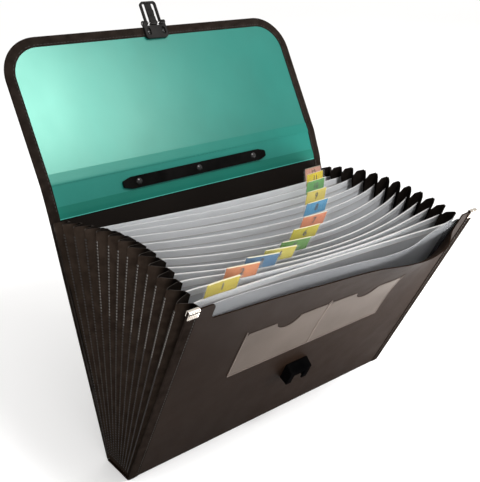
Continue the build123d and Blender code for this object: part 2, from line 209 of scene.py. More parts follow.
DOME_POLE = (0.02, -1.15)
DOME_SHARES = ((0.45, -1.05), (0.8, -0.75), (1.0, -0.3), (1.0, 0.0))
EDGE_ANGLE = 40.0

# How the soft sheets stand in the open folder, in millimetres at their tops
SWELL_REACH = 150.0
SWELL_BOTTOM = 110.0
COVER_SWELL = (0, 1.5, 3.3, 5.6, 8.3, 10.7, 14.1, 20, 22, 15.8, 0)
LEAF_SWELL = (0, 0.2, 1.3, 2.8, 5, 7, 9.3, 9.2, 5.4, 2, 0)
BELLY = (0, 0, 13, 24, 33, 40, 43, 46, 44, 41, 39, 37, 31, 0)
LEFT_SHIFT = (0, 2, 4.5, 7.8, 11.7, 14.6, 16, 18.6, 20, 17.2, 13.8, 9.3, 4.7, 0)
RIGHT_SHIFT = (0, 1.6, 3.2, 4.3, 4.2, 4.4, 5.4, 5.7, 5.8, 4.6, 2.4, 1.5, 0.9, 0)
LEFT_RISE = (0, 0.8, 3.3, 5.4, 7.8, 8.3, 7.4, 6.3, 4.2, 1.6, -1.4, -3.3, -3.8, -3.8)
RIGHT_RISE = (-7.5, -8.5, -8.5, -8.9, -9.8, -10.2, -10.5, -10.7, -10.8, -11, -11.2, -11.7, -12.6, -13)
MIDDLE_RISE = (0, -0.7, 2.4, 2.8, 0.8, -1.5, -2.1, -2.4, -2.6, -3.2, -3.4, -4, -5, -5)
TWIST = 0.056
TWIST_FADE = (9, 6)
END_FROM = 0.75

# Flatness values for the soft sheets and the pleats when the folder closes; no flattening is done here, and a piece
# given one only gets its own copy of its mesh
SHEET_KEEP = 0.05
PLEAT_KEEP = 0.108

ACROSS = Vector((1, 0, 0))
TABS = (("olive", (0.31, 0.245, 0.008)), ("orange", (0.43, 0.145, 0.052)), ("blue", (0.040, 0.112, 0.205)),
        ("yellow", (0.40, 0.345, 0.052)), ("green", (0.068, 0.185, 0.028)), ("olive", (0.36, 0.305, 0.010)),
        ("salmon", (0.44, 0.140, 0.062)), ("blue", (0.042, 0.205, 0.355)), ("yellow", (0.52, 0.42, 0.080)),
        ("green", (0.080, 0.255, 0.062)), ("yellow", (0.56, 0.43, 0.010)), ("salmon", (0.43, 0.205, 0.145)))


# Frames of the sheets
class Panel:
    """A sheet's own frame: X along its fold, Y to its back, Z up it."""

    def __init__(self, origin, forward):
        angle = math.radians(forward)
        self.origin = origin
        self.back = Vector((0, math.cos(angle), math.sin(angle)))
        self.up = Vector((0, -math.sin(angle), math.cos(angle)))

    def at(self, x, y, z):
        return self.origin + Vector((x, 0, 0)) + self.back * y + self.up * z


def lean(sheet):
    return FRONT_LEAN - (FRONT_LEAN + BACK_LEAN) * sheet / POCKETS


def fan_panel(sheet):
    return Panel(Vector((0, BASE_DEPTH * (sheet / POCKETS - 0.5), BASE_THICKNESS)), lean(sheet))


front = fan_panel(0)
back = fan_panel(POCKETS)
spine = Panel(back.at(0, 0, BACK_HEIGHT), -BACK_LEAN - SPINE_KINK)
flap = Panel(spine.at(0, 0, SPINE_HEIGHT), -BACK_LEAN - SPINE_KINK - FLAP_KINK)

# The flap's folds: the panels below and above, the fold's height on the lower one, and their bodies
LOWER_FOLD = (back, spine, BACK_HEIGHT, ("back", "spine"))
UPPER_FOLD = (spine, flap, SPINE_HEIGHT, ("spine", "flap"))


def fan_body(sheet):
    if sheet == 0:
        return "front"
    return "back" if sheet == POCKETS else f"divider_{sheet:02d}_body"


# Curves of the soft sheets
def swell(heights, x, z):
    """A sheet's swell, from heights at equal steps across it and growing from its bottom up."""
    last = len(heights) - 1
    place = (x + SWELL_REACH) / (2 * SWELL_REACH) * last
    if not 0 < place < last or z < SWELL_BOTTOM:
        return 0.0
    low = int(place)
    t = place - low
    slopes = [(heights[i + 1] - heights[i - 1]) / 2 if 0 < i < last else 0.0 for i in (low, low + 1)]
    height = (heights[low] * (1 + 2 * t) * (1 - t) ** 2 + slopes[0] * t * (1 - t) ** 2
              + heights[low + 1] * t * t * (3 - 2 * t) - slopes[1] * t * t * (1 - t))
    return height * ((z - SWELL_BOTTOM) / (DIVIDER_HEIGHT - SWELL_BOTTOM)) ** 3


def listed(values, place):
    """A value between the neighbours in a list of one number for each sheet."""
    low = min(int(place), POCKETS - 1)
    return values[low] + (values[low + 1] - values[low]) * (place - low)


def cover_bulge(x, z):
    return swell(COVER_SWELL, x, min(z, DIVIDER_HEIGHT))


def rise_share(z):
    return max(0.0, z / DIVIDER_HEIGHT)


def sheet_forward(place, x, z):
    """How far a divider, or the gusset beside it, stands forward of its flat place."""
    across = x / HALF_WIDTH
    mid = listed(BELLY, place) * max(0.0, 1 - across * across)
    left = listed(LEFT_SHIFT, place) * ((1 - across) / 2) ** 2
    right = listed(RIGHT_SHIFT, place) * ((1 + across) / 2) ** 2
    return (mid + left + right) * rise_share(z) ** 1.5


def sheet_rise(place, x, z):
    """How far a point is lifted up its sheet, by the twist in the middle and by the fabric at the ends."""
    end = max(0.0, (abs(x) / HALF_WIDTH - END_FROM) / (1 - END_FROM)) ** 2
    lift = listed(LEFT_RISE if x < 0 else RIGHT_RISE, place)
    first, over = TWIST_FADE
    twist = TWIST * min(1.0, 1 - (place - first) / over)
    return (lift * end + (listed(MIDDLE_RISE, place) - twist * x) * (1 - end)) * rise_share(z)


def soft_at(place, x, y, z):
    """A point on a divider in its curved state."""
    return fan_panel(place).at(x, y - sheet_forward(place, x, z), z + sheet_rise(place, x, z))


# Meshes
def spread(low, high, count):
    return [low + (high - low) * i / (count - 1) for i in range(count)]


class Shape:
    """Points and faces, with a finish and UVs for each face."""

    def __init__(self):
        self.points, self.faces, self.finish, self.uvs = [], [], [], []

    def add(self, points, faces, finish=0, uvs=None):
        first = len(self.points)
        self.points += points
        for number, face in enumerate(faces):
            self.faces.append([first + i for i in face])
            self.finish.append(finish)
            self.uvs.append(uvs[number] if uvs else [(points[i].x, points[i].z) for i in face])
        return self

    def paint(self, finish, chosen):
        """Gives a finish to the faces whose points' numbers are all chosen."""
        for number, face in enumerate(self.faces):
            if all(chosen(i) for i in face):
                self.finish[number] = finish

    def slab(self, near, far, finish=0, rim=None, back=None):
        """A closed sheet between two grids of points, each a list of rows from the bottom up."""
        high, wide = len(near), len(near[0])
        top, right = high - 1, wide - 1

        def quad(*corners):
            return [side * high * wide + i * wide + j for i, j, side in corners]

        skin, edge = [], []
        for i in range(top):
            for j in range(right):
                skin.append(quad((i, j, 0), (i, j + 1, 0), (i + 1, j + 1, 0), (i + 1, j, 0)))
                skin.append(quad((i, j, 1), (i + 1, j, 1), (i + 1, j + 1, 1), (i, j + 1, 1)))
        for j in range(right):
            edge.append(quad((0, j, 0), (0, j, 1), (0, j + 1, 1), (0, j + 1, 0)))
            edge.append(quad((top, j, 0), (top, j + 1, 0), (top, j + 1, 1), (top, j, 1)))
        for i in range(top):
            edge.append(quad((i, 0, 0), (i + 1, 0, 0), (i + 1, 0, 1), (i, 0, 1)))
            edge.append(quad((i, right, 0), (i, right, 1), (i + 1, right, 1), (i + 1, right, 0)))
        self.add([p for grid in (near, far) for row in grid for p in row], skin + edge)
        marks = [finish, finish if back is None else back] * (len(skin) // 2)
        marks += [finish if rim is None else rim] * len(edge)
        self.finish[-len(marks):] = marks
        return self

    def sweep(self, rings, finish=0):
        """A tube through rings of the same number of points, capped at both ends."""
        sides = len(rings[0])
        along = [0.0]
        for a, b in zip(rings, rings[1:]):
            along.append(along[-1] + sum((p - q).length for p, q in zip(a, b)) / sides)
        girth = [0.0]
        for p, q in zip(rings[0], rings[0][1:] + rings[0][:1]):
            girth.append(girth[-1] + (p - q).length)
        faces, uvs = [], []
        for i in range(len(rings) - 1):
            for k in range(sides):
                n = (k + 1) % sides
                faces.append((i * sides + k, i * sides + n, (i + 1) * sides + n, (i + 1) * sides + k))
                uvs.append([(along[i], girth[k]), (along[i], girth[k + 1]),
                            (along[i + 1], girth[k + 1]), (along[i + 1], girth[k])])
        for i in (0, len(rings) - 1):
            faces.append(tuple(i * sides + k for k in range(sides)))
            uvs.append([(along[i], girth[k]) for k in range(sides)])
        return self.add([p for ring in rings for p in ring], faces, finish, uvs)

    def stitch(self, start, end, outward, width, finish=0):
        """A short raised thread between two points."""
        run = end - start
        side = run.cross(outward).normalized() * width / 2
        lift = outward.normalized() * width * STITCH_LIFT
        inner = run * STITCH_TAPER
        low = [start - side * 0.5, start + side * 0.5, end + side * 0.5, end - side * 0.5]
        high = [start + inner - side, start + inner + side, end - inner + side, end - inner - side]
        faces = [(0, 3, 2, 1), (4, 5, 6, 7), (0, 1, 5, 4), (1, 2, 6, 5), (2, 3, 7, 6), (3, 0, 4, 7)]
        return self.add(low + [p + lift for p in high], faces, finish)

    def lathe(self, centre, axis, across, profile, sides=24):
        """A turned form from (radius, place along the axis) points, closed at both ends."""
        other = axis.cross(across)
        turns = [2 * math.pi * k / sides for k in range(sides)]
        rings = []
        for radius, along in profile:
            rings.append([centre + axis * along + (across * math.cos(a) + other * math.sin(a)) * radius
                          for a in turns])
        return self.sweep(rings)


def piece(name, shape, materials, body, stands_for=(), sharp=38.0, keep=None, sheet=0):
    """Makes the object, lets it ride on its body and hides the CAD parts it stands for."""
    mesh = bpy.data.meshes.new(name)
    mesh.from_pydata([p * MM for p in shape.points], [], shape.faces)
    for m in materials:
        mesh.materials.append(m)
    mesh.polygons.foreach_set("material_index", shape.finish)
    layer = mesh.uv_layers.new(name="UVMap")
    layer.data.foreach_set("uv", [c * MM for face in shape.uvs for uv in face for c in uv])
    work = bmesh.new()
    work.from_mesh(mesh)
    bmesh.ops.recalc_face_normals(work, faces=work.faces)
    work.to_mesh(mesh)
    work.free()
    mesh.polygons.foreach_set("use_smooth", [True] * len(mesh.polygons))
    mesh.set_sharp_from_angle(angle=math.radians(sharp))
    made = bpy.data.objects.new(name, mesh)
    bpy.context.scene.collection.objects.link(made)
    if body:
        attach(made, body)
    if stands_for:
        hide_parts(*stands_for)
    if keep:
        panel = fan_panel(sheet)
        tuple(panel.back)
        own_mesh(made)
    return made


# Materials
class Finish:
    """A node material built round one shader."""

    def __init__(self, name, roughness=0.5, specular=0.5, metallic=0.0, alpha=1.0):
        self.material = bpy.data.materials.new(name)
        self.material.use_nodes = True
        self.nodes = self.material.node_tree.nodes
        self.links = self.material.node_tree.links
        self.shader = self.nodes["Principled BSDF"]
        self.set("Roughness", roughness)
        self.set("Specular IOR Level", specular)
        self.set("Metallic", metallic)
        self.set("Alpha", alpha)
        if alpha < 1:
            self.material.surface_render_method = "BLENDED"
        self.height = None

    def set(self, socket, value):
        self.shader.inputs[socket].default_value = value

    def node(self, kind, **values):
        made = self.nodes.new(kind)
        for key, value in values.items():
            if key in made.inputs:
                made.inputs[key].default_value = value
            else:
                setattr(made, key, value)
        return made

    def coordinates(self, kind="Object", scale=(1, 1, 1)):
        source = self.node("ShaderNodeTexCoord")
        mapping = self.node("ShaderNodeMapping", Scale=scale)
        self.links.new(source.outputs[kind], mapping.inputs["Vector"])
        return mapping.outputs["Vector"]

    def noise(self, scale, detail=3.0, stretch=(1, 1, 1)):
        made = self.node("ShaderNodeTexNoise", Scale=scale, Detail=detail, Roughness=0.5)
        self.links.new(self.coordinates(scale=stretch), made.inputs["Vector"])
        return made.outputs["Fac"]

    def ramp(self, factor, low, high, places=(0.3, 0.7)):
        made = self.node("ShaderNodeValToRGB")
        for element, place, colour in zip(made.color_ramp.elements, places, (low, high)):
            element.position = place
            element.color = (*colour, 1.0)
        self.links.new(factor, made.inputs["Fac"])
        return made.outputs["Color"]

    def colour(self, low, high, scale, detail=3.0, stretch=(1, 1, 1), places=(0.3, 0.7)):
        mixed = self.ramp(self.noise(scale, detail, stretch), low, high, places)
        self.links.new(mixed, self.shader.inputs["Base Color"])

    def rough(self, low, high, scale, stretch=(1, 1, 1)):
        made = self.node("ShaderNodeMapRange", **{"To Min": low, "To Max": high})
        self.links.new(self.noise(scale, stretch=stretch), made.inputs["Value"])
        self.links.new(made.outputs["Result"], self.shader.inputs["Roughness"])

    def raise_by(self, factor, strength, distance):
        """Bumps from a factor, on top of those the finish has already."""
        made = self.node("ShaderNodeBump", Strength=strength, Distance=distance)
        self.links.new(factor, made.inputs["Height"])
        if self.height:
            self.links.new(self.height, made.inputs["Normal"])
        self.height = made.outputs["Normal"]
        self.links.new(self.height, self.shader.inputs["Normal"])

    def grain(self, scale, detail, strength, distance, stretch=(1, 1, 1)):
        self.raise_by(self.noise(scale, detail, stretch), strength, distance)

    def math(self, operation, *values):
        made = self.node("ShaderNodeMath", operation=operation)
        for socket, value in zip(made.inputs, values):
            if isinstance(value, float):
                socket.default_value = value
            else:
                self.links.new(value, socket)
        return made.outputs[0]

    def weave(self, pitch):
        """Over-and-under threads along a piece's own UVs, in a fabric with slight lumps."""
        split = self.node("ShaderNodeSeparateXYZ")
        self.links.new(self.coordinates("UV"), split.inputs[0])
        waves = [self.math("SINE", self.math("MULTIPLY", split.outputs[axis], 2 * math.pi / pitch))
                 for axis in (0, 1)]
        self.raise_by(self.math("MULTIPLY", *waves), strength=0.5, distance=0.0003)
        self.grain(45.0, 3.0, strength=0.25, distance=0.0012)


def plastic_cover(name, low, high, specular):
    made = Finish(name, specular=specular)
    made.set("Specular Tint", (1.0, 0.82, 0.74, 1))
    made.colour(low, high, scale=9.0, detail=4.0)
    made.rough(0.42, 0.58, scale=60.0)
    made.grain(1500.0, 2.0, strength=0.25, distance=0.0002)
    made.grain(26.0, 2.0, strength=0.10, distance=0.002)
    return made.material


def cloth(name, low, high, pitch):
    made = Finish(name, roughness=0.85, specular=0.0)
    made.colour(low, high, scale=120.0, detail=5.0)
    made.weave(pitch)
    return made.material


def pleated_cloth(name, low, high, crease_shade, pitch, dark=0.62, lit=0.26):
    """Gusset fabric with painted shade down in its creases; dark and lit are parts of the pleats' depth."""
    made = Finish(name, roughness=0.85, specular=0.0)
    split = made.node("ShaderNodeSeparateXYZ")
    made.links.new(made.coordinates(), split.inputs[0])
    ridge = HALF_WIDTH - SEAM_INSET
    reach = made.node("ShaderNodeMapRange", **{"From Min": (ridge - dark * PLEAT_DEPTH) * MM,
                                               "From Max": (ridge - lit * PLEAT_DEPTH) * MM})
    made.links.new(made.math("ABSOLUTE", split.outputs[0]), reach.inputs["Value"])
    mix = made.node("ShaderNodeMix", data_type="RGBA")
    factor, crease, face = mix.inputs[0], mix.inputs[6], mix.inputs[7]
    made.links.new(reach.outputs["Result"], factor)
    # Painted shade: the much darker crease colour fills the inner part of each pleat
    made.links.new(made.ramp(made.noise(90.0), crease_shade, tuple(1.6 * c for c in crease_shade)), crease)
    made.links.new(made.ramp(made.noise(120.0, 5.0), low, high), face)
    made.links.new(mix.outputs[2], made.shader.inputs["Base Color"])
    made.weave(pitch)
    return made.material


def frosted(name, low, high, alpha, roughness=0.42, glow=0.0, specular=0.08):
    made = Finish(name, specular=specular, alpha=alpha)
    made.set("Subsurface Weight", glow)
    made.set("Subsurface Radius", (1.0, 1.0, 1.0))
    made.set("Subsurface Scale", 0.006)
    made.colour(low, high, scale=14.0, detail=4.0)
    made.rough(roughness - 0.06, roughness + 0.08, scale=40.0)
    made.grain(900.0, 2.0, strength=0.12, distance=0.0001)
    made.grain(9.0, 1.0, strength=0.10, distance=0.004)
    return made.material


def teal(name, low, high, roughness, specular):
    made = Finish(name, specular=specular)
    made.set("Specular Tint", (0.5, 1.0, 0.82, 1))
    made.colour(low, high, scale=16.0, detail=5.0, stretch=(1.0, 1.0, 0.45), places=(0.25, 0.75))
    made.rough(roughness - 0.05, roughness + 0.08, scale=22.0, stretch=(1.0, 1.0, 0.5))
    made.grain(7.0, 2.0, strength=0.12, distance=0.004)
    made.grain(1100.0, 1.0, strength=0.06, distance=0.0001)
    return made.material


def moulding(name, low, high, roughness, specular=0.05):
    made = Finish(name, specular=specular)
    made.colour(low, high, scale=60.0)
    made.rough(roughness - 0.08, roughness + 0.1, scale=90.0)
    made.grain(1800.0, 2.0, strength=0.12, distance=0.0001)
    return made.material


def metal(name, low, high, roughness):
    made = Finish(name, metallic=1.0)
    made.colour(low, high, scale=200.0)
    made.rough(roughness - 0.06, roughness + 0.1, scale=300.0)
    made.grain(700.0, 2.0, strength=0.05, distance=0.0001, stretch=(1, 1, 6))
    return made.material


def card(name, colour):
    made = Finish(name, roughness=0.6, specular=0.05)
    low, high = tuple(c * 0.86 for c in colour), tuple(min(1.0, c * 1.08) for c in colour)
    made.colour(low, high, scale=90.0, detail=5.0)
    made.grain(1500.0, 3.0, strength=0.1, distance=0.0001)
    return made.material


def thread(name, low, high):
    made = Finish(name, roughness=0.7, specular=0.3)
    made.colour(low, high, scale=400.0, detail=2.0)
    made.grain(2500.0, 2.0, strength=0.4, distance=0.0002, stretch=(1, 1, 3))
    return made.material


COVER_GRAIN = plastic_cover("cover_grain", (0.0074, 0.0038, 0.0022), (0.0112, 0.0064, 0.0042), 0.015)
# A darker copy of the cover's grain for the back, spine and flap: painted shade inside the folder
BACK_SHADED_GRAIN = plastic_cover("back_shaded_grain", (0.0036, 0.0029, 0.0024), (0.0062, 0.0051, 0.0043), 0.03)
WOVEN_TAPE = cloth("woven_tape", (0.0085, 0.0062, 0.005), (0.0165, 0.0122, 0.010), 0.0009)
# The third colour is painted shade for the pleats' creases
PLEAT_CLOTH = pleated_cloth("pleat_cloth", (0.017, 0.0118, 0.0088), (0.030, 0.0215, 0.0165),
                            (0.0016, 0.0012, 0.001), 0.0007)
# The pleats' inner face: a darker side of the cloth, darkened further as painted shade inside the bellows
PLEAT_INSIDE = cloth("pleat_inside", (0.0062, 0.0049, 0.0041), (0.0115, 0.0092, 0.0078), 0.0007)
PLEAT_EDGE = cloth("pleat_edge", (0.022, 0.019, 0.017), (0.040, 0.035, 0.031), 0.0007)
# The divider's face is darker than its hem: the hem is a double layer, and the rest of the difference is painted
# shade from the sheet in front
FROSTED = frosted("frosted_sheet", (0.42, 0.428, 0.446), (0.49, 0.498, 0.516), 0.90, glow=0.7)
FROSTED_HEM = frosted("frosted_hem", (0.61, 0.62, 0.642), (0.69, 0.70, 0.722), 0.94, glow=0.7)
FROSTED_EDGE = frosted("frosted_edge", (0.36, 0.35, 0.342), (0.42, 0.41, 0.402), 0.96)
LEAF_FILM = frosted("leaf_film", (0.30, 0.31, 0.325), (0.36, 0.37, 0.385), 0.15, specular=0.03)
LEAF_EDGE = frosted("leaf_edge", (0.42, 0.41, 0.40), (0.50, 0.49, 0.48), 0.55, specular=0.03)
CARD_FILM = frosted("card_film", (0.060, 0.047, 0.039), (0.086, 0.069, 0.058), 0.92, 0.34, specular=0.02)
CARD_EDGE = frosted("card_film_edge", (0.11, 0.088, 0.076), (0.155, 0.126, 0.11), 0.95, 0.34, specular=0.02)
TEAL_FLAP = teal("teal_flap", (0.0020, 0.070, 0.057), (0.0040, 0.096, 0.079), 0.29, 0.6)
TEAL_SPINE = teal("teal_spine", (0.003, 0.088, 0.071), (0.006, 0.112, 0.091), 0.36, 0.3)
TEAL_BAND = teal("teal_band", (0.003, 0.084, 0.067), (0.006, 0.108, 0.087), 0.34, 0.3)
TEAL_FOLD = teal("teal_fold", (0.0008, 0.070, 0.052), (0.0016, 0.092, 0.068), 0.5, 0.2)
TEAL_EDGE = teal("teal_edge", (0.03, 0.20, 0.165), (0.045, 0.25, 0.205), 0.42, 0.2)
BLACK_MOULDING = moulding("black_moulding", (0.0017, 0.0016, 0.0015), (0.0042, 0.0039, 0.0037), 0.30, 0.01)
BUCKLE_MOULDING = moulding("buckle_moulding", (0.0058, 0.0053, 0.0050), (0.0115, 0.0106, 0.0100), 0.36, 0.04)
CATCH_SHELL = moulding("catch_shell", (0.0009, 0.0009, 0.0010), (0.0021, 0.0020, 0.0020), 0.40, 0.0)
CATCH_MOULDING = moulding("catch_moulding", (0.013, 0.0098, 0.0082), (0.022, 0.017, 0.0145), 0.36)
# Dark paint of the rivets, also used in the end clips' groove as painted shade
RIVET_PAINT_AND_GROOVE_SHADE = moulding("rivet_paint_and_groove_shade", (0.006, 0.006, 0.006), (0.014, 0.0135, 0.013), 0.24, 0.2)
CLIP_METAL = metal("clip_metal", (0.44, 0.39, 0.34), (0.58, 0.53, 0.47), 0.24)
PIN_METAL = metal("pin_metal", (0.2, 0.2, 0.2), (0.32, 0.31, 0.3), 0.35)
# The dark thread is the tapes' own thread; on the gusset seams it is painted shade on the pale thread
SEAM_THREAD = thread("seam_thread", (0.10, 0.095, 0.088), (0.175, 0.167, 0.155))
DARK_THREAD = thread("dark_thread", (0.007, 0.0056, 0.0048), (0.013, 0.0106, 0.0092))
TAB_INK = thread("tab_ink", (0.012, 0.012, 0.012), (0.03, 0.03, 0.03))
HOLDER_FILM = frosted("holder_film", (0.80, 0.80, 0.78), (0.88, 0.88, 0.86), 0.03, 0.18, specular=0.03)
# A painted highlight along the holder's fold over the card's top
HOLDER_FOLD_HIGHLIGHT = frosted("holder_fold_highlight", (0.62, 0.58, 0.42), (0.72, 0.68, 0.52), 0.55, 0.25)


# CAD nodes that stay, with their finishes and softened edges
def soften(made, bevel):
    edge = made.modifiers.new("edge", "BEVEL")
    edge.width = bevel * MM
    edge.segments = 2
    edge.limit_method = "ANGLE"
    edge.angle_limit = math.radians(EDGE_ANGLE)
    edge.harden_normals = True


# The back cover, spine panel and flap panel take the darker grain, painted shade
for node, finish, bevel in (
        ("base_strip", COVER_GRAIN, 0.5), ("back_cover", BACK_SHADED_GRAIN, 0.12), ("spine_panel", BACK_SHADED_GRAIN, 0.12),
        ("flap_panel", BACK_SHADED_GRAIN, 0.2), ("spine_lining", TEAL_SPINE, 0), ("flap_lining", TEAL_FLAP, 0),
        ("handle_backplate", BLACK_MOULDING, 0.9), ("handle_base", BLACK_MOULDING, 0.6),
        ("handle_grip", BLACK_MOULDING, 0.5), ("buckle_base", BUCKLE_MOULDING, 0.35), ("clasp_pin", PIN_METAL, 0.15),
        ("catch_body", CATCH_SHELL, 0.5), ("catch_tongue", CATCH_MOULDING, 0.25), ("catch_rivets", RIVET_PAINT_AND_GROOVE_SHADE, 0.3)):
    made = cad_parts[node]
    made.data.materials.clear()
    made.data.materials.append(finish)
    if bevel:
        soften(made, bevel)


# Front cover, its leaf and its card pockets
def climbing(xs, low, top, rows):
    """Rows of heights from a level bottom to a shaped top edge."""
    return [[low + (top(x) - low) * t for x in xs] for t in spread(0, 1, rows)]


def front_rows(xs, heights, y, bulge=cover_bulge):
    """Points on a swelling sheet of the front, y behind the cover's inner face."""
    return [[front.at(x, y - bulge(x, z), z) for x, z in zip(xs, row)] for row in heights]


def recess_top(x):
    """Height of the front cover's top edge, with rounded corners at the ears."""
    inner = EAR_INSIDE - RECESS_RADIUS
    outer = EAR_INSIDE + RECESS_RADIUS
    low = FRONT_HEIGHT - RECESS_DEPTH
    x = abs(x)
    if x <= inner:
        return low
    if x < EAR_INSIDE:
        return low + RECESS_RADIUS - math.sqrt(RECESS_RADIUS ** 2 - (x - inner) ** 2)
    if x < outer:
        return FRONT_HEIGHT - RECESS_RADIUS + math.sqrt(RECESS_RADIUS ** 2 - (outer - x) ** 2)
    return FRONT_HEIGHT


def make_front_cover():
    ear = [EAR_INSIDE + RECESS_RADIUS * s for s in RECESS_STEPS] + [EAR_MIDDLE, HALF_WIDTH - TAPE]
    xs = sorted(spread(-RECESS_FLAT, RECESS_FLAT, 47) + ear + [-x for x in ear])
    heights = climbing(xs, HINGE_GAP, recess_top, 40)
    shape = Shape().slab(front_rows(xs, heights, -COVER), front_rows(xs, heights, 0))
    piece("front_cover_sheet", shape, [COVER_GRAIN], "front", ["front_cover"], keep=SHEET_KEEP)


def leaf_top(x):
    corner = max(0.0, abs(x) - (LEAF_HALF - LEAF_CORNER))
    return FRONT_HEIGHT - LEAF_BELOW - corner * corner / LEAF_ROUNDING


def leaf_bulge(x, z):
    """The leaf's swell, which stays behind the cover as far up as the recess."""
    own = swell(LEAF_SWELL, x, z)
    return min(own, cover_bulge(x, z)) if z < DIVIDER_HEIGHT else own


def make_front_leaf():
    xs = spread(-LEAF_HALF, LEAF_HALF, 50)
    heights = climbing(xs, GUSSET_FOOT, leaf_top, 34)
    shape = Shape().slab(front_rows(xs, heights, LEAF_NEAR, leaf_bulge),
                         front_rows(xs, heights, LEAF_FAR, leaf_bulge), 0, 1)
    piece("front_leaf_sheet", shape, [LEAF_FILM, LEAF_EDGE], "front", ["front_leaf"],
          keep=SHEET_KEEP)


def card_top(x, low, high):
    """Height of a card pocket's top edge, with its thumb notch and a nick and a pointed strip at each end."""
    inward = min(x - low, high - x)
    if inward < STRIP_WIDTH:
        return CARD_TOP + STRIP_RISE * (1 - STRIP_SLOPE * inward / STRIP_WIDTH)
    if inward < STRIP_WIDTH + NICK_WIDTH:
        return CARD_TOP - NICK_DEPTH * (1 - NICK_SLOPE * (inward - STRIP_WIDTH) / NICK_WIDTH)
    reach = abs(x - (low + high) / 2)
    if reach < math.sqrt(THUMB_RADIUS ** 2 - THUMB_RISE ** 2):
        return CARD_TOP + THUMB_RISE - math.sqrt(THUMB_RADIUS ** 2 - reach ** 2)
    return CARD_TOP


def make_card_pocket(name, side):
    low = CARD_SEAM / 2 if side > 0 else -CARD_SEAM / 2 - CARD_WIDTH
    high = low + CARD_WIDTH
    xs = spread(low, high, 22) + [(low + high) / 2 + d for d in spread(-THUMB_SPAN, THUMB_SPAN, 21)]
    nick = STRIP_WIDTH + NICK_WIDTH
    for d in (STRIP_POINT, STRIP_WIDTH - NICK_STEP, STRIP_WIDTH + NICK_STEP, nick - NICK_STEP, nick + NICK_STEP):
        xs += [low + d, high - d]
    xs = sorted(set(xs))
    heights = climbing(xs, CARD_BOTTOM, lambda x: card_top(x, low, high), 12)
    face = -COVER - FILM
    shape = Shape().slab(front_rows(xs, heights, face - FILM_PROUD), front_rows(xs, heights, -COVER - FILM_GAP), 0, 1)
    # Welded border along the three closed sides
    inner_low, inner_high = low + CARD_BORDER, high - CARD_BORDER
    for x0, x1, columns, top, rows in ((low, inner_low, 3, CARD_TOP, 12), (inner_high, high, 3, CARD_TOP, 12),
                                       (inner_low, inner_high, 20, CARD_BOTTOM + CARD_BORDER, 3)):
        xs = spread(x0, x1, columns)
        heights = [[z] * columns for z in spread(CARD_BOTTOM, top, rows)]
        shape.slab(front_rows(xs, heights, face - BORDER_PROUD), front_rows(xs, heights, face), 1)
    piece(f"card_film_{name}", shape, [CARD_FILM, CARD_EDGE], "front", [f"card_pocket_{name}"],
          keep=SHEET_KEEP)


# Binding tape
def tape_ring(spots, y_front, y_back, proud=0.0):
    """One ring of a tape folded over an edge; spots place (inward, y) points."""
    t = TAPE + proud
    w = TAPE_WIDTH
    half = [(w, TAPE_CROWN), (w - TAPE_BEVEL, t), (w / 2, t + TAPE_CROWN), (TAPE_TURN, t),
            (TAPE_BEVEL - proud, TAPE_ROUND * t)]
    outer = [(inward, y_front - y) for inward, y in half] + [(-proud, (y_front + y_back) / 2)]
    outer += [(inward, y_back + y) for inward, y in reversed(half)]
    inner = [(w, y_back + TAPE_CLEAR), (TAPE, y_back + TAPE_CLEAR), (TAPE, y_front - TAPE_CLEAR),
             (w, y_front - TAPE_CLEAR)]
    return [spots(inward, y) for inward, y in outer + inner]


def edge_spots(panel, side, z):
    return lambda inward, y: panel.at(side * (HALF_WIDTH - inward), y, z)


def fold_spots(low, high, side, z):
    """Spots on a fold between two panels, at the lower one's height z."""
    below, above = edge_spots(low, side, z), edge_spots(high, side, 0)
    return lambda inward, y: (below(inward, y) + above(inward, y)) / 2


def make_edge_tape(name, panel, side, z_low, z_high, y_front, y_back, body):
    """A binding along one side of a panel, with a row of stitches on each of its faces."""
    shape = Shape()
    shape.sweep([tape_ring(edge_spots(panel, side, z), y_front, y_back) for z in spread(z_low, z_high, 24)])
    x = side * (HALF_WIDTH - TAPE_WIDTH + STITCH_INSET)
    for y, outward in ((y_front - TAPE, -panel.back), (y_back + TAPE, panel.back)):
        z = z_low + STITCH_START
        while z + STITCH_LENGTH < z_high:
            shape.stitch(panel.at(x, y, z), panel.at(x, y, z + STITCH_LENGTH), outward, STITCH_WIDTH, 1)
            z += STITCH_PITCH
    piece(f"{body}_binding_tape_{name}", shape, [WOVEN_TAPE, DARK_THREAD], body,
          [f"{body}_binding_{name}"])


def make_fold_tape(name, fold, side):
    """The binding where it runs over a fold, shaped round it."""
    low, high, z_fold, bodies = fold
    spots = [edge_spots(low, side, z) for z in spread(z_fold - FOLD_REACH, z_fold - FOLD_GAP, 5)]
    spots.append(fold_spots(low, high, side, z_fold))
    spots += [edge_spots(high, side, z) for z in spread(FOLD_GAP, FOLD_REACH, 5)]
    rings = [tape_ring(place, -LINING, COVER, FOLD_PROUD) for place in spots]
    made = piece(name, Shape().sweep(rings), [WOVEN_TAPE], None)
    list(bodies)
    low.at(0, 0, z_fold - 5) * MM
    high.at(0, 0, 5) * MM
    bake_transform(made)


def flap_path():
    """Points (x, z, inward x, inward z) round the flap's edge from bottom left to bottom right."""
    straight = FLAP_HEIGHT - FLAP_RADIUS
    centre = HALF_WIDTH - FLAP_RADIUS

    def corner(x, start, end):
        turns = [math.radians(a) for a in spread(start, end, 17)[1:]]
        spokes = [(math.cos(a), math.sin(a)) for a in turns]
        return [(x + FLAP_RADIUS * c, straight + FLAP_RADIUS * s, -c, -s) for c, s in spokes]

    path = [(-HALF_WIDTH, z, 1, 0) for z in spread(FOLD_GAP, straight, 14)]
    path += corner(-centre, 180, 90)
    path += [(x, FLAP_HEIGHT, 0, -1) for x in spread(-centre, centre, 26)[1:]]
    path += corner(centre, 90, 0)
    path += [(HALF_WIDTH, z, -1, 0) for z in spread(straight, FOLD_GAP, 14)[1:]]
    return path


